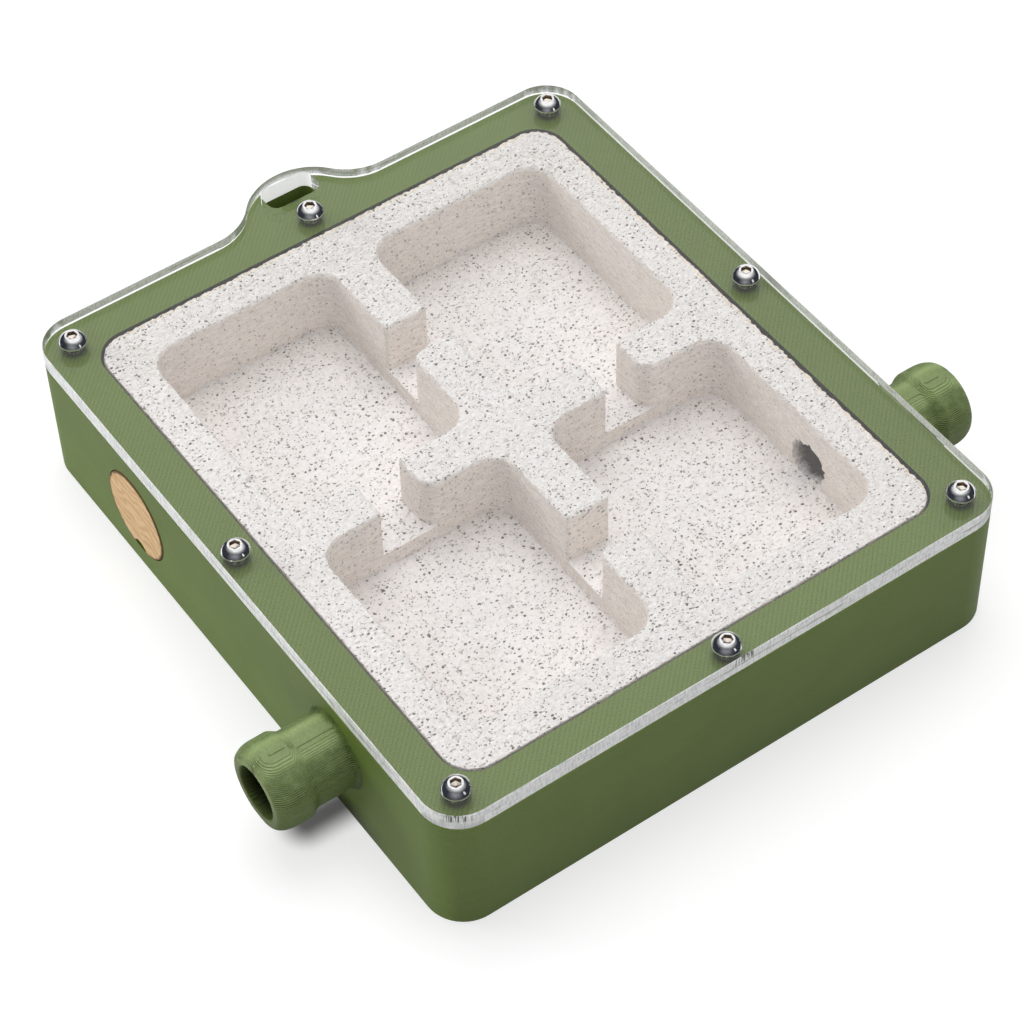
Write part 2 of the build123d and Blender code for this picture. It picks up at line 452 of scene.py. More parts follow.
def points_of(piece):
    """The places of all points, as an array in metres."""
    flat = np.empty(len(piece.data.vertices) * 3)
    piece.data.vertices.foreach_get("co", flat)
    return flat.reshape(-1, 3)


def move_points(piece, places):
    """Write the places of all points back."""
    piece.data.vertices.foreach_set("co", np.asarray(places).ravel())
    piece.data.update()


block = merged_copy("crumbled_block", "nest_block")
print("block faces:", len(block.data.polygons))

# %% [markdown]
# Only the top millimetre crumbles, so only that is cut away. The level plane leaves the
# outline of the block, its rooms and its passages, as chains of edges.

# %% Cut the top off
cut_height = 28.1 * MM
block_top = 29.13 * MM
crumb = 0.3 * MM
near_enough = 0.01 * MM

edit(block)
bpy.ops.mesh.select_all(action="SELECT")
bpy.ops.mesh.bisect(plane_co=(0, 0, cut_height), plane_no=(0, 0, 1), clear_outer=True, use_fill=False)
leave_edit()


def at_height(piece, height):
    """A test for the edges that lie level at one height."""
    places = points_of(piece)[:, 2]
    return lambda edge: all(abs(places[v] - height) < near_enough for v in edge.vertices)


level = at_height(block, cut_height)
print("edges along the cut:", sum(level(edge) for edge in block.data.edges))

# %% [markdown]
# Subdivide would draw new lines across the walls as well. Adding points on the edges alone keeps
# every wall one face, so this step uses the bisect operator of the mesh library.

# %% Divide the cut edge finely
def divide(piece, wanted, count_for):
    """Put new points on the edges whose both ends are wanted, as many as each edge needs."""
    stone = bmesh.new()
    stone.from_mesh(piece.data)
    by_count = {}
    for edge in stone.edges:
        if all(wanted(*v.co / MM) for v in edge.verts):
            by_count.setdefault(count_for(edge), []).append(edge)
    for count, edges in by_count.items():
        if count > 0:
            bmesh.ops.bisect_edges(stone, edges=edges, cuts=count)
    stone.to_mesh(piece.data)
    stone.free()


divide(block, lambda x, y, z: abs(z - cut_height / MM) < 0.01,
       lambda edge: round(edge.calc_length() / crumb) - 1)
level = at_height(block, cut_height)
print("edges after dividing:", sum(level(edge) for edge in block.data.edges))

# %% [markdown]
# The noise has three sizes: shallow bites, chips of a millimetre and sharp teeth. The rooms'
# edges crumble most, then the block's two far edges, and its two near ones least.

# %% Draw the edge up in steps and crumble it
steps = (  # height, then how far a room's, a near and a far edge go back
    (28.45, 0.05, 0.10, 0.20),
    (28.8, 0.35, 0.20, 0.35),
    (29.0, 0.75, 0.34, 0.55),
    (29.13, 1.15, 0.50, 0.80))
outer_x, outer_y = 52, 61

edit(block)
bpy.ops.mesh.select_mode(type="EDGE")
leave_edit()
pick(block, "edges", at_height(block, cut_height))
bpy.ops.object.mode_set(mode="EDIT")
height = cut_height
for step_height, *_ in steps:
    rise = (0, 0, step_height * MM - height)
    bpy.ops.mesh.extrude_edges_move(TRANSFORM_OT_translate={"value": rise})
    height = step_height * MM
leave_edit()


def crumbling(x, y, step):
    """How far the stone has broken back here, in metres."""
    coarse = mist.noise(Vector((x * 0.22, y * 0.22, 3.7)))
    teeth = abs(mist.noise(Vector((x * 0.85, y * 0.85, 9.1 + step * 0.15))))
    sharp = abs(mist.noise(Vector((x * 2.3, y * 2.3, 5.3 + step * 0.4))))
    return (0.10 + 0.40 * max(coarse, 0.0) + 0.95 * teeth + 0.50 * sharp) * MM


def share_here(x, y, room_share, near_share, far_share):
    """How much of the crumbling the edge at this place takes."""
    if x > outer_x or y > outer_y:
        return far_share
    if x < -outer_x or y < -outer_y:
        return near_share
    return room_share


places = points_of(block)
normals = np.empty(len(block.data.vertices) * 3)
block.data.vertices.foreach_get("normal", normals)
normals = normals.reshape(-1, 3)
for step, (step_height, *shares) in enumerate(steps):
    on_step = np.flatnonzero(abs(places[:, 2] - step_height * MM) < near_enough)
    for v in on_step:
        x, y = places[v][:2] / MM
        outwards = np.array([normals[v][0], normals[v][1], 0.0])
        outwards /= max(np.linalg.norm(outwards), 1e-9)
        places[v] -= outwards * share_here(x, y, *shares) * crumbling(x, y, step)
    print("points broken back on step", step, ":", len(on_step))
move_points(block, places)

# %% [markdown]
# The passage to the right spigot was drilled after the room was milled, and the drill broke the
# wall where it came out. The round of points at the room's end of the hole is pulled about:
# wider to the rear, a little narrower to the front, and never below the floor of the room.

# %% Break the rim of the entry hole
entry_axis = (-35.8, 17.9)
entry_radius = 4.7
room_wall = 46.8
room_floor = 13.2


def on_entry_rim(x, y, z):
    """Whether a place in millimetres is where the drilled hole meets the room."""
    from_axis = np.hypot(y - entry_axis[0], z - entry_axis[1])
    return (abs(abs(x) - room_wall) < 0.05) & (abs(from_axis - entry_radius) < 0.1)


divide(block, on_entry_rim, lambda edge: 2)
places = points_of(block) / MM
rim = np.flatnonzero(on_entry_rim(*places.T))
for v in rim:
    swell = 0.20 * mist.noise(Vector(places[v] * 0.45)) + 0.22 * mist.noise(Vector(places[v] * 1.3))
    outward = places[v, 1:] - entry_axis
    rearwards, upwards = outward / np.hypot(*outward)
    flare = max(0.0, rearwards) ** 2
    pinch = max(0.0, -0.8 * rearwards - 0.6 * upwards)
    places[v, 1:] += outward * (swell + 0.28 * flare - 0.16 * pinch)
    places[v, 2] = max(places[v, 2], room_floor + 0.15)
move_points(block, places * MM)
print("points round the entry holes:", len(rim))

# %% [markdown]
# The stone cross between the four rooms stands apart from the frame round them, so the top is
# filled in two goes, each between its own loops of edges.

# %% Close the top
def close_top(piece, wanted):
    """Fill the flat region between the loops of top edges that wanted() names by their middle."""
    level = at_height(piece, block_top)
    places = points_of(piece)
    pick(piece, "edges", lambda edge: level(edge) and wanted(*places[edge.vertices[0]][:2] / MM))
    bpy.ops.object.mode_set(mode="EDIT")
    bpy.ops.mesh.fill(use_beauty=False)
    leave_edit()


def on_pillar(x, y):
    """Whether a place is on the stone cross between the four rooms."""
    return abs(x) < 24 and abs(y) < 29


close_top(block, on_pillar)
close_top(block, lambda x, y: not on_pillar(x, y))
edit(block)
bpy.ops.mesh.select_all(action="SELECT")
bpy.ops.mesh.normals_make_consistent(inside=False)
leave_edit()
print("block faces:", len(block.data.polygons))

bpy.ops.object.shade_smooth_by_angle(angle=math.radians(12))

# %% [markdown]
# ## The clear lid
# Two surfaces in full contact would look wet through clear sheet. In reality the sheet rests on
# the tips of the printed lines, with air in between. The lid is a copy of its node whose
# underside is lifted by six hundredths of a millimetre, which is all the air it needs.

# %% Lift the underside of the lid
lid_bottom = 29.2
slot_middle = 77.0
air_gap = 0.06

lid = merged_copy("clear_lid", "lid")
places = points_of(lid) / MM
places[abs(places[:, 2] - lid_bottom) < 0.01, 2] += air_gap
move_points(lid, places * MM)
print("lid faces:", len(lid.data.polygons))

# %% [markdown]
# Acrylic is clear where it was polished, white where it was sawn and painted dark, as painted
# shade, where a screw fills a drilled hole, so the lid's faces are sorted by direction and place.
# In the water slot only the far wall, which faces the lens, shows as a sawn one.

# %% Tell the cut edges from the rest
slot_half_width = 6.15
slot_half_depth = 3.6
drill_reach = 2.5
screw_boxes = [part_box(name) for name in nodes if name.startswith("screw")]
screw_axes = [((low[0] + high[0]) / 2 / MM, (low[1] + high[1]) / 2 / MM) for low, high in screw_boxes]


def kind_of(face):
    """0 for a polished face, 1 for a sawn edge, 2 for the wall of a screw hole."""
    x, y = face.center.xy / MM
    if abs(face.normal.z) > 0.85:
        return 0
    if any(math.hypot(x - a, y - b) < drill_reach for a, b in screw_axes):
        return 2
    in_slot = abs(x) < slot_half_width and abs(y - slot_middle) < slot_half_depth
    return 0 if in_slot and face.normal.y > -0.15 else 1


kinds = [kind_of(face) for face in lid.data.polygons]
print("polished, sawn, drilled faces:", *(kinds.count(kind) for kind in range(3)))

# %% [markdown]
# ## The hose spigots
# Each spigot was printed lying on its side, so its skin is a stack of level layers, thinner near
# the top than further down. On the flank the layers show as fine ribs, and on top they open out
# into nested terraces, like the contour lines of a hill. That is the most telling detail of
# the printed parts, so it is real geometry here. A flat grid is added as a primitive, wrapped
# along the spigot's closed profile one way and up and down its layers the other way, and its
# points are moved to where the print head would have laid them.

# %% The profile of a spigot
ledges = [8.95, 8.64, 8.46, 8.25, 8.04, 7.84, 7.63, 7.46, 7.28, 7.09, 6.90, 6.68, 6.46, 6.21, 5.95,
          5.67, 5.37, 5.05, 4.70, 4.33, 3.95, 3.55] + [3.15 - 0.4 * k for k in range(31)]
layers = [((upper + lower) / 2, upper - lower) for upper, lower in zip(ledges, ledges[1:])]
terraced_layers = 16
spigot_axis = (-36.4, 17.4)
tray_side = 64.0
tail_end = -8.8
neck_end = 8.2
barb_begin = 10.6
barb_end = 13.5
mouth_station = 17.3
neck_radius = 7.8
barb_radius = 8.8
bore_radius = 5.5
mouth_round = 0.4


def outer_radius(s):
    """The outside radius at a distance from the tray's side, in millimetres."""
    if s < 1.0:
        return neck_radius + 1.0 - math.sqrt(max(1.0 - (1.0 - s) ** 2, 0.0))
    if s < neck_end:
        return neck_radius
    if s < barb_begin:
        t = (s - neck_end) / (barb_begin - neck_end)
        return neck_radius + t * t * (3 - 2 * t)
    if s < barb_end:
        return barb_radius
    return 6.9 + 1.9 * math.sqrt(max(1.0 - ((s - barb_end) / (mouth_station - barb_end)) ** 2, 0.0))


def stations_along_skin():
    """Where the skin needs points: evenly, and on both sides of each layer's end."""
    stations = set(np.round(np.arange(0.0, mouth_station, 0.33), 3)) | {mouth_station - 0.01}
    fine = np.arange(0.0, mouth_station, 0.005)
    radii = np.array([outer_radius(s) for s in fine])
    for middle, _ in layers[:terraced_layers]:
        for crossing in np.flatnonzero((radii[:-1] - middle) * (radii[1:] - middle) < 0):
            stations |= {round(fine[crossing] + shift, 3) for shift in (-0.05, 0.02, 0.12)}
    return sorted(s for s in stations if 0 <= s < mouth_station)


def spigot_profile():
    """The closed profile as stations, radii and the direction that faces out of the wall."""
    quarter = (math.pi / 2, math.pi / 3, math.pi / 6, 0)
    lip = bore_radius + mouth_round
    rows = [(s, 7.0, 0, 1) for s in (tail_end, -4.4, -0.02)]
    rows += [(s, outer_radius(s), 0, 1) for s in stations_along_skin()]
    rows += [(mouth_station, r, 1, 0) for r in (6.86, 6.5, 6.1)]
    rows += [(mouth_station - mouth_round * (1 - math.sin(a)), lip - mouth_round * math.cos(a),
              math.sin(a), -math.cos(a)) for a in quarter]
    rows += [(s, bore_radius, 0, -1) for s in np.arange(16.4, -8.5, -0.6)]
    rows += [(tail_end, r, -1, 0) for r in (bore_radius, 6.2)]
    return rows


profile = spigot_profile()
print("points along the profile:", len(profile))

# %% [markdown]
# The grid's columns follow the profile and its rows the layers: four rows to a layer, the outer
# two in the grooves and the inner two on the crest. Points that meet where the skin closes are
# merged, and each point remembers how deep in a groove it lies, for the finish.

# %% Wrap a grid along the layers
bead_groove = 0.09
rows_in_layer = ((0.5, 1.0), (0.2, 0.10), (-0.2, 0.10), (-0.5, 1.0))
levels = [(middle, middle + share * height, depth)
          for middle, height in layers for share, depth in rows_in_layer]
around = [(1, *level) for level in levels] + [(-1, *level) for level in reversed(levels)]


def top_of_skin(radius):
    """How high above the axis the last layer ends that this radius still holds."""
    held = [middle + height / 2 for middle, height in layers if abs(middle) < radius]
    return min(max(held), radius)


tops = [top_of_skin(radius) for _, radius, _, _ in profile]


def skin_point(i, j, seed):
    """Where column i meets row j, and how deep that is in a groove."""
    s, radius, face_s, face_r = profile[i]
    half, middle, level, depth = around[j]
    wobble = 0.03 * mist.noise(Vector((s * 0.35, middle * 4.1, seed + half * 3)))
    strong = min(max((level - 1.8) / 2.2, 0.12), 1.0)
    groove = bead_groove * depth * strong
    width = math.sqrt(max(radius ** 2 - middle ** 2, 0.0))
    if width > 0:
        width = max(width + wobble * abs(face_r) - groove * face_r, 0.0)
    z = min(max(level, -tops[i]), tops[i])
    place = (tray_side + s - groove * face_s, spigot_axis[0] + half * width, spigot_axis[1] + z)
    return place, depth * strong


def layered_spigot(name, side, seed):
    """A closed skin of level layers on both sides of the spigot's middle plane."""
    bpy.ops.mesh.primitive_grid_add(x_subdivisions=len(profile), y_subdivisions=len(around), size=2)
    piece = bpy.context.object
    piece.name = name
    places = points_of(piece)
    columns = np.rint((places[:, 0] + 1) / 2 * len(profile)).astype(int) % len(profile)
    lines = np.rint((places[:, 1] + 1) / 2 * len(around)).astype(int) % len(around)
    grooves = np.zeros(len(places))
    for v, (i, j) in enumerate(zip(columns, lines)):
        places[v], grooves[v] = skin_point(i, j, seed)
    move_points(piece, places * (side * MM, MM, MM))
    piece.data.attributes.new("groove", "FLOAT", "POINT").data.foreach_set("value", grooves)
    edit(piece)
    bpy.ops.mesh.select_all(action="SELECT")
    bpy.ops.mesh.remove_doubles(threshold=0.004 * MM)
    bpy.ops.mesh.dissolve_degenerate(threshold=0.002 * MM)
    bpy.ops.mesh.select_all(action="SELECT")
    bpy.ops.mesh.normals_make_consistent(inside=False)
    leave_edit()
    bpy.ops.object.shade_smooth_by_angle(angle=math.radians(40))
    bpy.ops.object.select_all(action="DESELECT")
    print(name, "faces:", len(piece.data.polygons))
    return piece


left_spigot = layered_spigot("printed_left_spigot", -1, 1.7)
right_spigot = layered_spigot("printed_right_spigot", 1, 6.2)

# %% [markdown]
# ## Finishes
# ### Printed green
# The tray and the spigots are printed in matte green plastic. On the level rim the print head
# went to and fro at 45 degrees, which shows through the clear lid as a fine hatch; the sides are
# a stack of thin layers with a faint, uneven sheen. Both are far finer than a pixel, so they are a
# relief in the finish, with a little colour to it, and not geometry.

# %% What the printed finishes share
def printed_green(name, light, dark):
    """Begin matte printed plastic: its place, direction, colour and fine weave."""
    place, facing = start_finish(name)
    streaks = noise(spread(place, 0.05, 0.05, 2.2), 1.0, 3, 0.6)
    weave = noise(place, 1.9, 3, 0.75)
    cloud = noise(place, 0.07, 3)
    skin = calc("MULTIPLY_ADD", streaks, 0.4, times(weave, 1.1))
    skin = plus(skin, times(cloud, 0.5))
    body = mix(stretch(skin, 0.75, 1.3, smooth=False), dark, light)
    return place, facing, body, weave


def finish_green(body, height, depth, rough):
    """Close a printed finish with its colour and its relief."""
    bump = relief(height, depth * MM, 0.7)
    return end_finish(principled(body, rough, Specular_IOR_Level=0.3, Normal=bump))


def to_screws(x, y):
    """The distance to the nearest screw's axis, in millimetres."""
    spans = [reach(minus(x, a), minus(y, b)) for a, b in screw_axes]
    nearest = spans[0]
    for span in spans[1:]:
        nearest = calc("MINIMUM", nearest, span)
    return nearest


print("screws to keep clear of:", len(screw_axes))

# %% [markdown]
# The level rim has the hatch: broad pairs of lines with fainter strands in them, bent a little
# by a slow noise, and painted shade close to the screws' heads. The sides have the layers, a foot
# painted darker and a badge side painted lighter, as painted shade and light, and a painted shade
# under the spigot's neck. The pocket is painted nearly black, as painted shade.

# %% The tray's finish
pair_period = 0.83
strand_period = 0.435
layer_period = 0.25
line_dark = (0.83, 0.86, 0.79)
line_light = (1.15, 1.12, 1.17)
rim_green = (0.116, 0.178, 0.022)
pocket_painted_shade = (0.020, 0.013, 0.005)
pocket_half_width, pocket_half_depth = 57.5, 66.5
neck_y = -38.0


def combed_lines(place, weave):
    """The print head's lines on the rim, as a height."""
    x, y, _ = split(place)
    across = times(minus(x, y), 0.70711)
    across = plus(across, times(noise(place, 0.12, 2), 0.2))
    strands = calc("MULTIPLY_ADD", waves(across, strand_period), 0.06, 0.5)
    combed = calc("MULTIPLY_ADD", waves(across, pair_period), 0.36, strands)
    return plus(combed, waver(weave, 0.55))


def rim_colour(place, body, combed):
    """The level rim, with its lines and the painted shade round the screws' heads."""
    x, y, _ = split(place)
    lines = graded(combed, 0.1, 0.9, line_dark, line_light)
    fade = stretch(noise(place, 0.10, 2), 0.35, 0.65, 0.85, 1.0)
    rim = tinted(mix(0.7, body, rim_green), mix(fade, white, lines))
    rim = dimmed(rim, stretch(x, 45, 60, 0.96, 0.88))
    rim = tinted(rim, graded(y, -68, -50, white, (0.95, 0.95, 0.86)))
    # Painted shade: the rim darkens close to each screw's head.
    return dimmed(rim, stretch(to_screws(x, y), 1.9, 3.3, 0.16, 1.0))


def side_colour(place, facing, body):
    """The layered sides, with painted shade and light, and the painted dark of the pocket."""
    x, y, z = split(place)
    badge_side = stretch(facing[0], -0.9, -0.6, 1.0, 0.0)
    # Painted shade and light: darker towards the foot, and lighter on the badge side.
    foot = stretch(z, 0, 29, 0.86, 1.03, smooth=False)
    foot = between(badge_side, foot, stretch(z, 0, 29, 1.24, 1.09))
    from_neck = put("VectorMath", {0: place, 1: (0, -neck_y, 0)}, operation="ADD").outputs[0]
    from_neck = spread(from_neck, 0, 0.8, 1.5)
    from_neck = put("VectorMath", {0: from_neck}, operation="LENGTH").outputs[1]
    # Painted shade under the spigot's neck, on the badge side only.
    painted_neck_shade = times(badge_side, stretch(from_neck, 2.0, 14.0, 0.75, 0.0))
    side = dimmed(body, times(foot, minus(1.0, painted_neck_shade)))
    # Painted shade: the pocket round the block is nearly black.
    pocket = times(within(x, pocket_half_width), within(y, pocket_half_depth))
    return mix(pocket, side, pocket_painted_shade)


def tray_skin():
    """The tray: a combed hatch on the level rim, thin layers on the sides."""
    place, facing, body, weave = printed_green(
        "printed_green", (0.141, 0.200, 0.046), (0.098, 0.150, 0.023))
    level = stretch(unsigned(facing[2]), 0.75, 0.95)
    combed = combed_lines(place, weave)
    layering = waves(split(place)[2], layer_period)
    layering = calc("MULTIPLY_ADD", layering, 0.2, times(weave, 0.8))
    side = side_colour(place, facing, body)
    colour = mix(level, side, rim_colour(place, body, combed))
    rough = stretch(weave, 0.3, 0.7, 0.52, 0.66)
    return finish_green(colour, between(level, layering, combed), 0.04, rough)


wear(nodes["case"], tray_skin())
print("the tray wears", nodes["case"].data.materials[0].name)

# %% [markdown]
# On a spigot the groove between two layers gets painted shade and its crest a painted highlight,
# paler higher up; the points of the skin already know how deep each groove is. On top, where the
# layers open out into terraces, there is little contrast, and the terraces are painted lighter away
# from the middle line. The root and the underside are painted darker, as painted shade, the root in
# a ragged line, and the bore is painted nearly black, as painted shade.

# %% The spigots' finish
just_outside_bore = 5.65
bore_painted_shade = (0.016, 0.026, 0.006)


def ribbed_colour(place, facing, body, radius):
    """Painted highlights on the crests and painted shade in the grooves, lighter painted terraces on
    top.
    """
    _, y, z = split(place)
    across = unsigned(minus(y, spigot_axis[0]))
    up = minus(z, spigot_axis[1])
    groove = put("Attribute", attribute_name="groove").outputs["Fac"]
    patchy = stretch(noise(place, 0.5, 3, 0.6), 0.3, 0.6, 0.7, 1.0)
    on_skin = calc("GREATER_THAN", radius, just_outside_bore)
    groove = times(stretch(groove, 0.08, 0.50), times(patchy, on_skin))
    # Painted highlight on the crests, stronger higher up, and painted shade in the grooves.
    crest = tinted(body, graded(up, 2.0, 4.5, white, (1.80, 1.72, 1.76)))
    ribbed = mix(groove, crest, tinted(body, (0.26, 0.32, 0.16)))
    flat_top = stretch(facing[2], 0.80, 0.97)
    flat_top = times(flat_top, stretch(across, 2.8, 4.8, 1.0, 0.35))
    # Painted light on the terraces on top, away from the middle line.
    return mix(flat_top, ribbed, dimmed(body, stretch(across, 1.0, 2.8, 1.0, 1.28)))


def spigot_skin():
    """A spigot: ribbed outside, with painted shade at its root, underneath and in the bore."""
    place, facing, body, weave = printed_green(
        "printed_green_spigot", (0.268, 0.334, 0.158), (0.184, 0.250, 0.092))
    x, y, z = split(place)
    up = minus(z, spigot_axis[1])
    radius = reach(minus(y, spigot_axis[0]), up)
    ribbed = ribbed_colour(place, facing, body, radius)
    ragged = calc("MULTIPLY_ADD", noise(place, 0.9, 3, 0.7), 2.4, -1.0)
    root = minus(minus(unsigned(x), tray_side), ragged)
    # Painted shade along the root, in a ragged line, and underneath.
    ribbed = tinted(ribbed, graded(root, 0.0, 1.3, (0.50, 0.56, 0.30), white))
    ribbed = tinted(ribbed, graded(up, -2.5, 6.5, (0.46, 0.50, 0.28), white))
    from_mouth = minus(tray_side + mouth_station, unsigned(x))
    # Painted shade in the bore, from just inside the mouth.
    inside = calc("LESS_THAN", radius, just_outside_bore)
    inside = times(inside, stretch(from_mouth, 0.1, 2.6, 0.30, 1.0))
    return finish_green(mix(inside, ribbed, bore_painted_shade), weave, 0.05, 0.55)


spigot_green = spigot_skin()
wear(left_spigot, spigot_green)
wear(right_spigot, spigot_green)
print("the spigots wear", spigot_green.name)

# %% [markdown]
# ### Speckled mineral
# Sawn faces are nearly white and full of tiny cut grains: grey, brown, a few reddish. A field of
# cells in three dimensions gives just that, because a flat cut meets some grains through their
# middle and others near their end, so they differ in size by themselves.

# %% Cut grains
def grains(place, spacing, small, large, squeeze, soft=0.35):
    """Cut grains: 1 on a grain, a pale ring round it, and random numbers for each."""
    ruffle = put("TexNoise", {"Vector": place, "Scale": 1.8, "Detail": 1.0}).outputs["Color"]
    ruffle = put("VectorMath", {0: ruffle, 1: (0.5, 0.5, 0.5)}, operation="SUBTRACT").outputs[0]
    ruffled = put("VectorMath", {0: ruffle, 1: (0.7, 0.7, 0.7), 2: place}, operation="MULTIPLY_ADD")
    spaced = spread(ruffled.outputs[0], *[s / spacing for s in squeeze])
    cells = put("TexVoronoi", {"Vector": spaced, "Scale": 1.0}, feature="F1").outputs
    chance = split(cells["Color"])
    size = stretch(chance[0], 0, 1, small / spacing, large / spacing, smooth=False)
    inside = minus(size, cells["Distance"])
    to_rim = unsigned(plus(inside, 0.10 / spacing))
    ring = stretch(to_rim, 0, 0.12 / spacing, 1, 0)
    return stretch(inside, 0, soft * large / spacing), ring, chance


def speckled(place, body, share):
    """The colour with its grains laid over it, and where they left pits."""
    bold_mask, bold_ring, bold_chance = grains(place, 0.92, 0.09, 0.33, (0.85, 1.1, 1))
    fine_mask, fine_ring, fine_chance = grains(place, 0.60, 0.06, 0.23, (0.9, 1.1, 1))
    long_mask, _, long_chance = grains(place, 1.25, 0.0, 0.44, (0.55, 1.3, 1))
    fine_tone = mix(fine_chance[1], (0.46, 0.395, 0.355), (0.27, 0.222, 0.195))
    bold_tone = mix(bold_chance[1], (0.30, 0.245, 0.212), (0.115, 0.088, 0.075))
    bold_tone = graded(bold_chance[2], 0.90, 0.94, bold_tone, (0.40, 0.24, 0.21))
    long_tone = mix(long_chance[1], (0.56, 0.51, 0.48), (0.40, 0.355, 0.33))
    rings = calc("MAXIMUM", bold_ring, times(fine_ring, 0.6))
    body = mix(times(rings, share, 0.6), body, (0.97, 0.96, 0.95))
    body = mix(times(long_mask, share, 0.7), body, long_tone)
    body = mix(times(fine_mask, share, 0.85), body, fine_tone)
    body = mix(times(bold_mask, share), body, bold_tone)
    return body, calc("MAXIMUM", fine_mask, bold_mask)


print("kinds of grain: bold, fine and long")

# %% [markdown]
# Milled walls are the colour of weak tea, with level scratches from the cutter, and only a few
# grains; that colour is partly the milled stone's own and partly painted shade, and it is painted
# lighter or darker by the way a wall faces. The saw left the top chalky, with soft lumps, a little
# greyer towards the rear; the low places of the chalk and the lumps' hollows get painted shade, and
# the rooms' floors get painted light. Both colours are drifts of noise, drawn out along the way each
# tool went.

# %% Sawn and milled colours
def sawn_colour(place, chalk, lump):
    """The nearly white stone of level faces, with painted light on the floors and painted shade in
    hollows.
    """
    x, y, z = split(place)
    cloud = noise(place, 0.16, 4, 0.6)
    stone = graded(cloud, 0.3, 0.7, (0.815, 0.766, 0.745), (0.862, 0.818, 0.800))
    stone = tinted(stone, graded(y, 25, 60, white, (0.89, 0.875, 0.86)))
    stone = tinted(stone, graded(x, 30, 52, white, (0.97, 0.96, 0.955)))
    stone = tinted(stone, graded(x, -50, -10, (1.06, 1.055, 1.05), white))
    # Painted light: the rooms' floors are made paler than the top.
    painted_floor_light = stretch(z, 18.5, 27.0, 1.0, 0.0)
    stone = stained(painted_floor_light, stone, (1.262, 1.258, 1.282))
    # Painted shade in the chalk's low places and in the lumps' hollows.
    dull = tinted(stone, (0.895, 0.89, 0.885))
    stone = graded(chalk, 0.36, 0.64, dull, mix(0.5, stone, (0.97, 0.95, 0.945)))
    return stained(stretch(lump, 0.35, 0.85), stone, (0.92, 0.915, 0.91))


def milled_colour(place, facing, sweep, scored):
    """The weak-tea colour of milled walls, partly painted shade, and painted darker facing left or
    right.
    """
    # The tea colour is partly the milled stone's own and partly painted shade.
    tea = graded(sweep, 0.36, 0.64, (0.770, 0.695, 0.636), (0.895, 0.828, 0.772))
    tea = stained(stretch(scored, 0.52, 0.68), tea, (0.84, 0.83, 0.82))
    blotch = noise(spread(place, 0.5, 0.5, 0.8), 1.0, 4, 0.7)
    tea = stained(stretch(blotch, 0.5, 0.7), tea, (0.93, 0.925, 0.92))
    # Painted light and shade: lighter on walls facing front or back, darker facing left or right.
    return dimmed(tea, stretch(unsigned(facing[0]), 0.2, 0.9, 1.11, 0.93))


print("two colours of stone: sawn and milled")

# %% [markdown]
# Where the block meets the tray its edge is stained and crusted, and beyond the two far edges the
# gap is painted dark, as painted shade. These places are found by their distance from the block's
# outer faces, and the painted shade of the entry hole by its axis. Milled is what is steep, but
# for the outer faces and the broken foot of a wall.

# %% Speckled mineral
block_half_width = 53.0
block_half_depth = 62.7


def edge_and_hole(place, facing, body, beyond, ragged):
    """Stain on the outer edges, and painted shade in the gap beyond them and in the entry hole."""
    x, y, z = split(place)
    sloping = stretch(facing[2], 0.75, 0.93, 1.0, 0.0)
    brink = times(stretch(beyond, 0.2, 0.8), sloping)
    body = mix(times(brink, 0.6), body, (0.80, 0.66, 0.48))
    beyond_far = calc("MAXIMUM", minus(x, block_half_width), minus(y, block_half_depth))
    crust = stretch(noise(place, 1.1, 2), 0.42, 0.52)
    crust = times(stretch(beyond_far, 0.35, 0.8), crust)
    body = mix(times(crust, 0.5), body, (0.80, 0.62, 0.38))
    # Painted shade: the gap beyond the far edges is nearly black.
    gap = times(stretch(beyond_far, 0.95, 1.25), calc("LESS_THAN", z, 29.05))
    body = mix(gap, body, (0.045, 0.024, 0.008))
    # Painted shade in the entry hole, darker further in.
    drilled = reach(minus(y, entry_axis[0]), minus(z, entry_axis[1]))
    hole = stretch(drilled, entry_radius + 0.05, entry_radius + 0.5, 1.0, 0.0)
    hole = calc("MAXIMUM", hole, calc("LESS_THAN", drilled, entry_radius + 3.2))
    into = plus(minus(unsigned(x), room_wall), waver(ragged, 3.0))
    hole = times(hole, stretch(into, 0.2, 2.8, 0.0, 1.0))
    return mix(hole, body, (0.105, 0.066, 0.048)), hole


def milled_share(place, facing, beyond, ragged):
    """1 on milled walls, 0 on sawn faces."""
    broken = waver(noise(place, 1.6, 3, 0.7), 1.1)
    tilt = plus(unsigned(facing[2]), broken)
    upright = times(stretch(tilt, 0.55, 0.80, 1.0, 0.0), within(facing[2], 0.93))
    foot = plus(minus(split(place)[2], room_floor), waver(ragged, 6.5))
    upright = times(upright, stretch(foot, -0.2, 1.0))
    return times(upright, stretch(beyond, 0.0, 0.3, 1.0, 0.0))


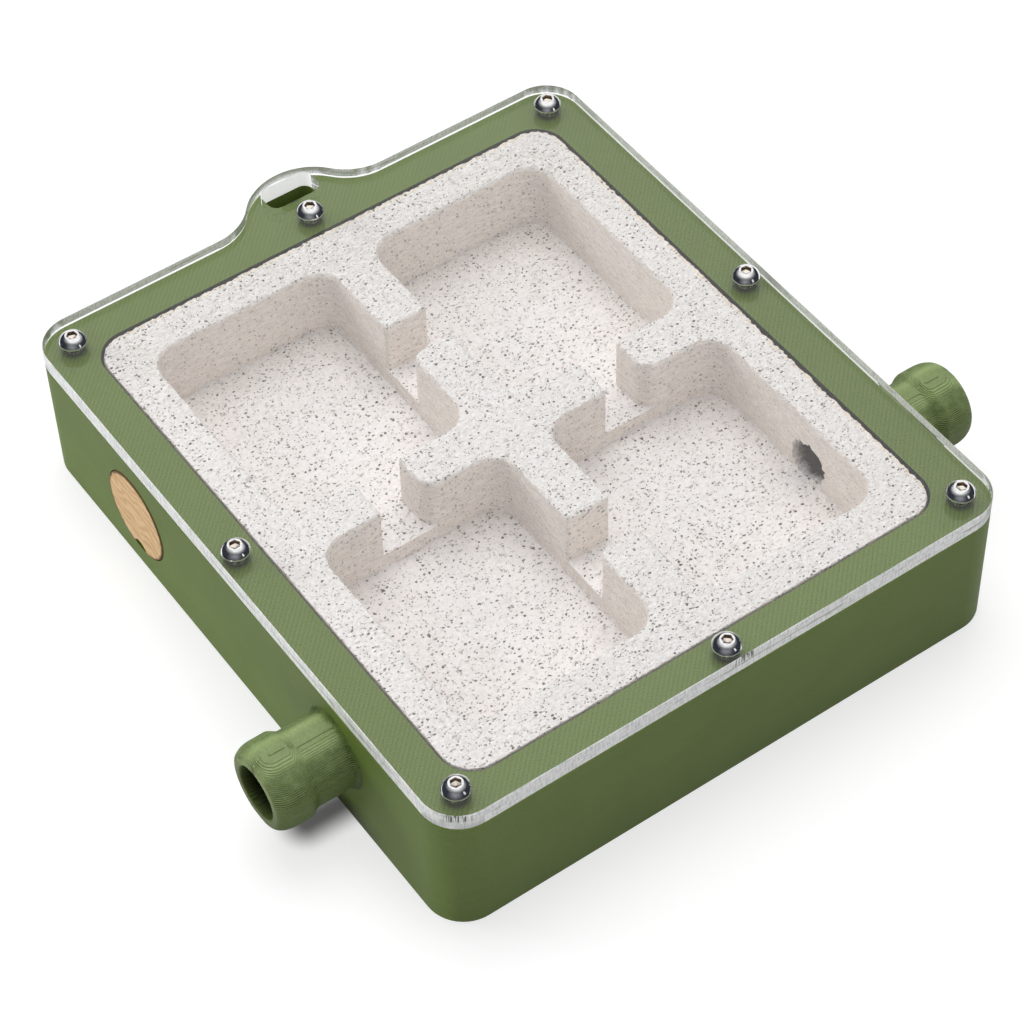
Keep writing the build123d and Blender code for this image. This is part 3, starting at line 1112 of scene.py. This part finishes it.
def speckled_mineral(name):
    """Pale stone with cut grains on its level faces and milled, tea-coloured walls."""
    place, facing = start_finish(name)
    x, y, _ = split(place)
    ragged = noise(place, 0.6, 3, 0.7)
    beyond = calc("MAXIMUM", minus(unsigned(x), block_half_width),
                  minus(unsigned(y), block_half_depth))
    upright = milled_share(place, facing, beyond, ragged)

    sawn_way = {"Vector": place, "Rotation": (0, 0, math.radians(35)), "Scale": (0.8, 2.2, 1.2)}
    chalk = noise(put("Mapping", sawn_way).outputs[0], 1.0, 4, 0.6)
    lump = {"Vector": place, "Scale": 1.15, "Smoothness": 0.6}
    lump = put("TexVoronoi", lump, feature="SMOOTH_F1").outputs["Distance"]
    shallow = spread(place, 0.34, 0.34, 1.4)
    shallow = put("VectorMath", {0: shallow, 1: spread(place, 0, 0, 0.1)}).outputs[0]
    sweep = noise(shallow, 1.0, 4, 0.65)
    scored = noise(spread(place, 1.0, 1.0, 2.6), 1.0, 4, 0.65)
    body = mix(upright, sawn_colour(place, chalk, lump),
               milled_colour(place, facing, sweep, scored))
    body, hole = edge_and_hole(place, facing, body, beyond, ragged)
    share = times(between(upright, 1.0, 0.6), all_but(1.0, hole))
    body, pits = speckled(place, body, share)

    sawn = calc("MULTIPLY_ADD", chalk, 1.3, times(pits, -0.7))
    sawn = calc("MULTIPLY_ADD", lump, -0.9, sawn)
    milled = calc("MULTIPLY_ADD", scored, -0.8, times(pits, -0.4))
    milled = calc("MULTIPLY_ADD", sweep, 2.4, milled)
    depth = between(upright, 0.27 * MM, 0.17 * MM)
    bump = relief(between(upright, sawn, milled), depth, 0.9)
    return end_finish(principled(body, 0.92, Normal=bump, Specular_IOR_Level=0.25))


wear(block, speckled_mineral("speckled_mineral"))
print("the block wears", block.data.materials[0].name)

# %% [markdown]
# ### Bare wood
# The disc in the left wall is a thin slice of bare wood, cut by laser: its edge is scorched
# brown and its face shows pale and dark grain lines that bend round a small knot.

# %% Bare wood
disc_middle = (35.0, 14.6)
disc_radius = 9.8


def bare_wood(name):
    """Pale wood with fine grain and a scorched rim."""
    place, _ = start_finish(name)
    _, y, z = split(place)
    up = minus(z, disc_middle[1])
    radius = reach(minus(y, disc_middle[0]), up)
    rings = plus(up, times(noise(place, 0.14, 2, 0.5), 9.0))
    bands = calc("SINE", times(rings, 2.6))
    fibre = noise(spread(place, 1.0, 0.22, 3.6), 1.0, 4, 0.65)
    grain = calc("MULTIPLY_ADD", bands, 0.16, fibre)
    face = graded(grain, 0.25, 0.8, (0.93, 0.66, 0.38), (0.74, 0.46, 0.22))
    pore = stretch(noise(spread(place, 1.0, 0.5, 7.0), 1.0, 3, 0.7), 0.60, 0.72)
    pore = times(pore, 0.5)
    face = mix(pore, face, (0.42, 0.22, 0.09))
    ragged = waver(noise(place, 1.3, 3, 0.6), 0.9)
    to_edge = plus(radius, ragged)
    body = graded(to_edge, disc_radius - 0.75, disc_radius - 0.1, face, (0.16, 0.085, 0.035))
    bump = relief(minus(grain, pore), 0.06 * MM, 0.7)
    rough = stretch(fibre, 0.3, 0.7, 0.62, 0.78)
    return end_finish(principled(body, rough, Normal=bump, Specular_IOR_Level=0.3))


wear(nodes["badge"], bare_wood("bare_wood"))
print("the disc wears", nodes["badge"].data.materials[0].name)

# %% [markdown]
# ### Polished steel
# The button heads are polished stainless steel, with hair-fine scratches and a few duller spots
# from the driver, which break up the reflections a little. A drill left the bottom of a socket
# as a shallow cone. The socket is tinted warm, a painted reflection, and its walls brown, a painted
# shade. The hem, where a head meets the lid, is painted pale and less metallic, a painted reflection
# of the sheet, and the shank below it nearly black, a painted shade.

# %% Polished steel
hem_low, hem_full, hem_high = 33.12, 33.30, 33.42
flank_low = 33.7
socket_high = 34.3


def polished_steel(name):
    """Polished stainless steel with faint scratches, and painted reflections and shade."""
    place, facing = start_finish(name)
    x, y, z = split(place)
    scuff = noise(place, 1.1, 4, 0.65)
    scratch = noise(spread(place, 9.0, 1.2, 4.0), 1.0, 3, 0.6)
    socket = calc("LESS_THAN", z, socket_high)
    socket = times(socket, stretch(facing[2], 0.9, 0.98))
    flank = times(within(facing[2], 0.3), calc("GREATER_THAN", z, flank_low))
    hem = stretch(z, hem_full, hem_high, 1.0, 0.0)
    hem = times(hem, calc("GREATER_THAN", z, hem_low))
    rough = stretch(calc("MULTIPLY_ADD", scratch, 0.4, scuff), 0.5, 1.0, 0.06, 0.16)
    rough = plus(rough, times(calc("MAXIMUM", socket, flank), 0.12))
    metal = minus(1.0, times(hem, 0.7))
    shade = graded(scuff, 0.35, 0.7, (0.93, 0.93, 0.93), (0.80, 0.80, 0.80))
    # Painted shade on the socket's walls.
    shade = mix(times(flank, 0.8), shade, (0.70, 0.58, 0.46))
    # Painted reflection: a warm tint in the socket.
    shade = mix(times(socket, 0.9), shade, (1.0, 0.90, 0.78))
    # Painted reflection: the pale hem.
    shade = mix(hem, shade, (0.86, 0.86, 0.85))
    # Painted shade: the shank below the hem.
    shade = mix(calc("LESS_THAN", z, hem_low), shade, (0.07, 0.07, 0.06))
    cone = times(to_screws(x, y), 0.55, socket)
    bump = relief(calc("MULTIPLY_ADD", scratch, 0.002, cone), MM, 1.0)
    return end_finish(principled(shade, rough, Metallic=metal, Normal=bump))


steel = polished_steel("polished_steel")
screws = [part for name, part in nodes.items() if name.startswith("screw")]
for screw in screws:
    wear(screw, steel)
print("screws in polished steel:", len(screws))

# %% [markdown]
# ### Clear sheet
# The lid is clear acrylic with polished faces. Lamps reach what is under it along straight
# lines: the finish is plain glass for the lens and lets everything else by, which keeps the
# rooms free of noise.

# %% Clear sheet
bend_of_light = 1.49


def let_by(body):
    """The same body, except that shade and scattered light pass it unbent."""
    through = put("BsdfTransparent", {"Color": (0.985, 0.987, 0.985)})
    path = put("LightPath").outputs
    passing = calc("MAXIMUM", path["Is Shadow Ray"], path["Is Diffuse Ray"])
    return put("MixShader", {0: passing, 1: body, 2: through.outputs[0]}).outputs[0]


def clear_sheet():
    """Polished acrylic."""
    place, _ = start_finish("clear_acrylic")
    tint = graded(noise(place, 0.35, 4, 0.7), 0.4, 0.7, white, (0.985, 0.99, 0.985))
    body = principled(tint, 0.0, IOR=bend_of_light, Transmission_Weight=1.0)
    return end_finish(let_by(body))


wear(lid, clear_sheet())
print("the lid's faces wear", lid.data.materials[0].name)

# %% [markdown]
# The lid's outline and its slot were sawn and only rubbed smooth, so they scatter light and look
# nearly white, with fine marks across them and, here and there, a clearer streak. The two far
# edges are painted a darker green, a painted stand-in for the green seen through them. Next to two
# of the front screws the edge has dark scars. The far wall of the slot is painted near white and
# given a faint glow, a painted light for the light carried through the sheet, so it is the brightest
# part.

# %% Sawn edge
sheet_middle = 32.9
scars = ((-60.9, -72.1, 32.3), (0.9, -72.9, 32.3))


def sawn_tone(place, comb):
    """White with marks across it, and a clearer streak that wanders along the middle."""
    saw = noise(spread(place, 0.22, 0.22, 3.0), 1.0, 3, 0.6)
    drift = noise(spread(place, 0.09, 0.09, 0.4), 1.0, 2)
    from_streak = calc("MULTIPLY_ADD", drift, 3.0, minus(split(place)[2], sheet_middle))
    streak = stretch(unsigned(from_streak), 0.10, 0.40, 1.0, 0.0)
    streak = times(streak, stretch(drift, 0.47, 0.60))
    tone = graded(comb, 0.34, 0.62, (0.80, 0.815, 0.81), (0.985, 0.985, 0.985))
    tone = stained(stretch(saw, 0.50, 0.66), tone, (0.72, 0.74, 0.72))
    return mix(times(streak, 0.75), tone, (0.36, 0.39, 0.34))


def scarred(place):
    """1 on the dark scars beside two of the front screws."""
    spans = [put("VectorMath", {0: place, 1: scar}, operation="DISTANCE").outputs[1] for scar in scars]
    tine = noise(spread(place, 2.4, 2.4, 0.1), 1.0, 2, 0.6)
    close = stretch(calc("MINIMUM", *spans), 1.8, 3.2, 1.0, 0.0)
    close = times(close, stretch(split(place)[2], 30.8, 32.0))
    return times(close, stretch(tine, 0.48, 0.55))


def sawn_edge():
    """Sawn acrylic."""
    place, facing = start_finish("sawn_acrylic_edge")
    x, y, _ = split(place)
    comb = noise(spread(place, 2.6, 2.6, 0.5), 1.0, 3, 0.75)
    in_slot = within(minus(y, slot_middle), slot_half_depth)
    in_slot = times(within(x, slot_half_width), in_slot)
    # Painted light: the slot's far wall is near white.
    tone = mix(times(in_slot, 0.85), sawn_tone(place, comb), (0.98, 0.98, 0.985))
    tone = mix(scarred(place), tone, (0.10, 0.11, 0.09))
    # Painted reflection: the far edges take on the green seen through them.
    far_side = calc("MAXIMUM", *[stretch(facing[way], 0.1, 0.5) for way in (0, 1)])
    far_side = times(far_side, minus(1.0, in_slot))
    tone = mix(times(far_side, 0.72), tone, (0.17, 0.22, 0.11))
    # Painted light: a faint glow on the slot's far wall.
    cut = principled(tone, 0.38, IOR=bend_of_light, Specular_IOR_Level=0.9,
                     Normal=relief(comb, 0.03 * MM, 0.5), Emission_Color=white,
                     Emission_Strength=times(in_slot, 0.42))
    clear = principled(white, 0.25, IOR=bend_of_light, Transmission_Weight=1.0)
    cut_share = stretch(comb, 0.3, 0.55, 0.86, 1.0)
    side = put("MixShader", {0: cut_share, 1: clear, 2: cut}).outputs[0]
    return end_finish(let_by(side))


lid.data.materials.append(sawn_edge())
print("the lid's cut edges wear", lid.data.materials[1].name)

# %% [markdown]
# The wall of a screw hole is painted dark, a painted shade under the screw's head, where the shank
# fills it. Its finish comes last, and then each face of the lid gets the finish of its kind.

# %% Drilled wall
def drilled_wall():
    """The wall of a screw hole: painted dark as painted shade, with fine marks down it."""
    place, _ = start_finish("drilled_acrylic")
    comb = noise(spread(place, 3.2, 3.2, 0.2), 1.0, 2, 0.6)
    # Painted shade: nearly black with a few greener marks.
    tone = graded(comb, 0.42, 0.60, (0.030, 0.040, 0.018), (0.20, 0.25, 0.13))
    return end_finish(let_by(principled(tone, 0.45)))


lid.data.materials.append(drilled_wall())
for face, kind in zip(lid.data.polygons, kinds):
    face.material_index = kind
print("finishes on the lid:", len(lid.data.materials))

# %% [markdown]
# ## Bodies and stand-ins
# Each new piece says which body carries it and which node it stands for, and that node is hidden.
# Each also names a slot of the record for its finish, which nothing here uses.

# %% Bodies and stand-ins
dressed = ((block, "nest_block", "mineral_block"), (lid, "lid", "clear_acrylic"),
           (left_spigot, "left_tube_spigot", "printed_green_spigot"),
           (right_spigot, "right_tube_spigot", "printed_green_spigot"))
for piece, node, slot in dressed:
    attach(piece, "lid" if node == "lid" else "tray")
    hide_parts(node)
    print(piece.name, "stands for", node)
